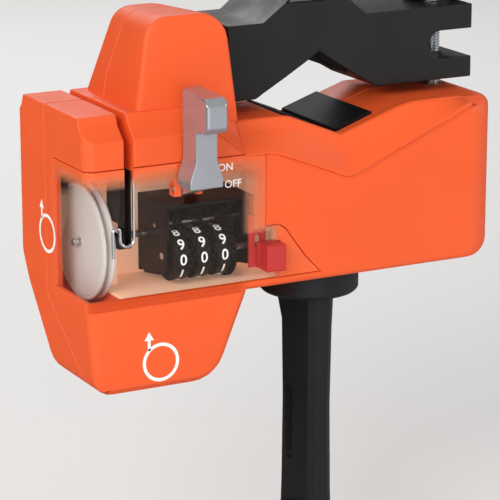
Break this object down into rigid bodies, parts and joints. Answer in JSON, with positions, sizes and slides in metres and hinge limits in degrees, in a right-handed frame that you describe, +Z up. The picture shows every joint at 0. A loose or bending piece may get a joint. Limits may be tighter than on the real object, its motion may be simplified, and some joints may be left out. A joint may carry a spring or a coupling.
{
  "type": "fishing line spooler",
  "caption": "Line winding aid: a housing clamps on a rod, line turns a measuring wheel and a digit counter, and a swivelling stem holds the spool.",
  "frame": {"origin": "on the clamped rod's axis, above the lowest line of the vee and half way through the clamp", "axes": "+X to the right along the front face, towards the clamp screw; +Y to the back, along the rod; +Z up"},
  "size_m": [0.1981, 0.092, 0.2821],
  "materials": {
    "orange": "moulded, satin gloss",
    "clear": "clear, faintly tinted",
    "black": "glass-filled, fine grain",
    "rubber": "soft, dull",
    "steel": "turned",
    "chrome": "polished",
    "brass": "turned",
    "grey": "light grey, satin",
    "white": "natural nylon",
    "red": "moulded, satin gloss"
  },
  "bodies": {
    "housing": {"front_shell": "orange", "rear_shell": "orange", "counter_cover": "clear", "rod_pad_left": "rubber", "rod_pad_right": "rubber", "housing_screw_1": "steel", "housing_screw_2": "steel", "housing_screw_3": "steel", "housing_screw_4": "steel", "housing_screw_5": "steel", "housing_screw_6": "steel", "clamp_insert": "brass", "line_channel": "black", "wire_guide": "chrome", "shaft_bush": "brass", "counter_frame": "black", "digit_shaft": "steel", "idler_shaft": "steel", "lever_pin": "steel", "reset_spring": "steel", "swivel_ring": "white"},
    "measuring": {"measuring_wheel": "grey", "wheel_shaft": "steel", "drive_pinion": "white"},
    "idler": {"idler_gear": "white"},
    "units": {"units_wheel": "black", "input_gear": "white"},
    "tens": {"tens_wheel": "black"},
    "hundreds": {"hundreds_wheel": "black"},
    "units_carry": {"units_transfer": "white"},
    "tens_carry": {"tens_transfer": "white"},
    "lever": {"lever": "chrome"},
    "reset": {"reset_button": "red", "reset_yoke": "red"},
    "clamp": {"clamp_arm": "black", "arm_pad_left": "rubber", "arm_pad_right": "rubber", "clamp_washer": "steel"},
    "knob": {"clamp_knob": "black", "clamp_screw": "steel"},
    "swivel": {"swivel_collar": "black", "swivel_washer": "steel", "swivel_bolt": "steel", "stem": "black", "spool_spindle": "steel"},
    "inner_cone": {"inner_cone": "black"},
    "tension": {"tension_knob": "black", "tension_washer": "steel", "tension_spring": "steel"},
    "outer_cone": {"outer_cone": "black"}
  },
  "joints": [
    {"name": "wheel_spin", "type": "hinge", "parent": "housing", "child": "measuring", "pos_m": [-0.1064, -0.003, -0.0525], "axis": [1, 0, 0], "continuous": true},
    {"name": "idler_spin", "type": "hinge", "parent": "housing", "child": "idler", "pos_m": [-0.048, -0.01163, -0.04744], "axis": [1, 0, 0], "continuous": true},
    {"name": "units_spin", "type": "hinge", "parent": "housing", "child": "units", "pos_m": [-0.0552, -0.018, -0.059], "axis": [1, 0, 0], "continuous": true},
    {"name": "units_carry_spin", "type": "hinge", "parent": "housing", "child": "units_carry", "pos_m": [-0.06, -0.01163, -0.04744], "axis": [1, 0, 0], "continuous": true},
    {"name": "tens_spin", "type": "hinge", "parent": "housing", "child": "tens", "pos_m": [-0.0647, -0.018, -0.059], "axis": [1, 0, 0], "continuous": true},
    {"name": "tens_carry_spin", "type": "hinge", "parent": "housing", "child": "tens_carry", "pos_m": [-0.0695, -0.01163, -0.04744], "axis": [1, 0, 0], "continuous": true},
    {"name": "hundreds_spin", "type": "hinge", "parent": "housing", "child": "hundreds", "pos_m": [-0.0742, -0.018, -0.059], "axis": [1, 0, 0], "continuous": true},
    {"name": "lever_swing", "type": "hinge", "parent": "housing", "child": "lever", "pos_m": [-0.0725, -0.0284, -0.0285], "axis": [1, 0, 0], "range_deg": [0, 35]},
    {"name": "reset_push", "type": "slide", "parent": "housing", "child": "reset", "axis": [0, 1, 0], "range_m": [0, 0.004], "stiffness_N_per_m": 300, "springref_m": -0.003, "deforming": ["reset_spring"]},
    {"name": "clamp_slide", "type": "slide", "parent": "housing", "child": "clamp", "axis": [0, 0, 1], "range_m": [-0.004, 0.018]},
    {"name": "knob_turn", "type": "hinge", "parent": "clamp", "child": "knob", "pos_m": [0.065, 0.008, 0.04], "axis": [0, 0, 1], "range_deg": [-1153, 5185]},
    {"name": "stem_swivel", "type": "hinge", "parent": "housing", "child": "swivel", "pos_m": [0, 0, -0.082], "axis": [0, 0, 1], "range_deg": [0, 90]},
    {"name": "inner_cone_spin", "type": "hinge", "parent": "swivel", "child": "inner_cone", "pos_m": [-0.018, 0, -0.206], "axis": [1, 0, 0], "continuous": true},
    {"name": "tension_slide", "type": "slide", "parent": "swivel", "child": "tension", "axis": [1, 0, 0], "range_m": [0, 0.02]},
    {"name": "outer_cone_spin", "type": "hinge", "parent": "tension", "child": "outer_cone", "pos_m": [-0.062, 0, -0.206], "axis": [1, 0, 0], "continuous": true}
  ],
  "couplings": [
    {"joint": "idler_spin", "follows": "wheel_spin", "ratio": -0.25},
    {"joint": "units_spin", "follows": "wheel_spin", "ratio": 0.05},
    {"joint": "units_carry_spin", "follows": "wheel_spin", "ratio": -0.0125},
    {"joint": "tens_spin", "follows": "wheel_spin", "ratio": 0.005},
    {"joint": "tens_carry_spin", "follows": "wheel_spin", "ratio": -0.00125},
    {"joint": "hundreds_spin", "follows": "wheel_spin", "ratio": 0.0005},
    {"joint": "knob_turn", "follows": "clamp_slide", "rad_per_m": 5026.5},
    {"joint": "outer_cone_spin", "follows": "inner_cone_spin", "ratio": 1}
  ]
}
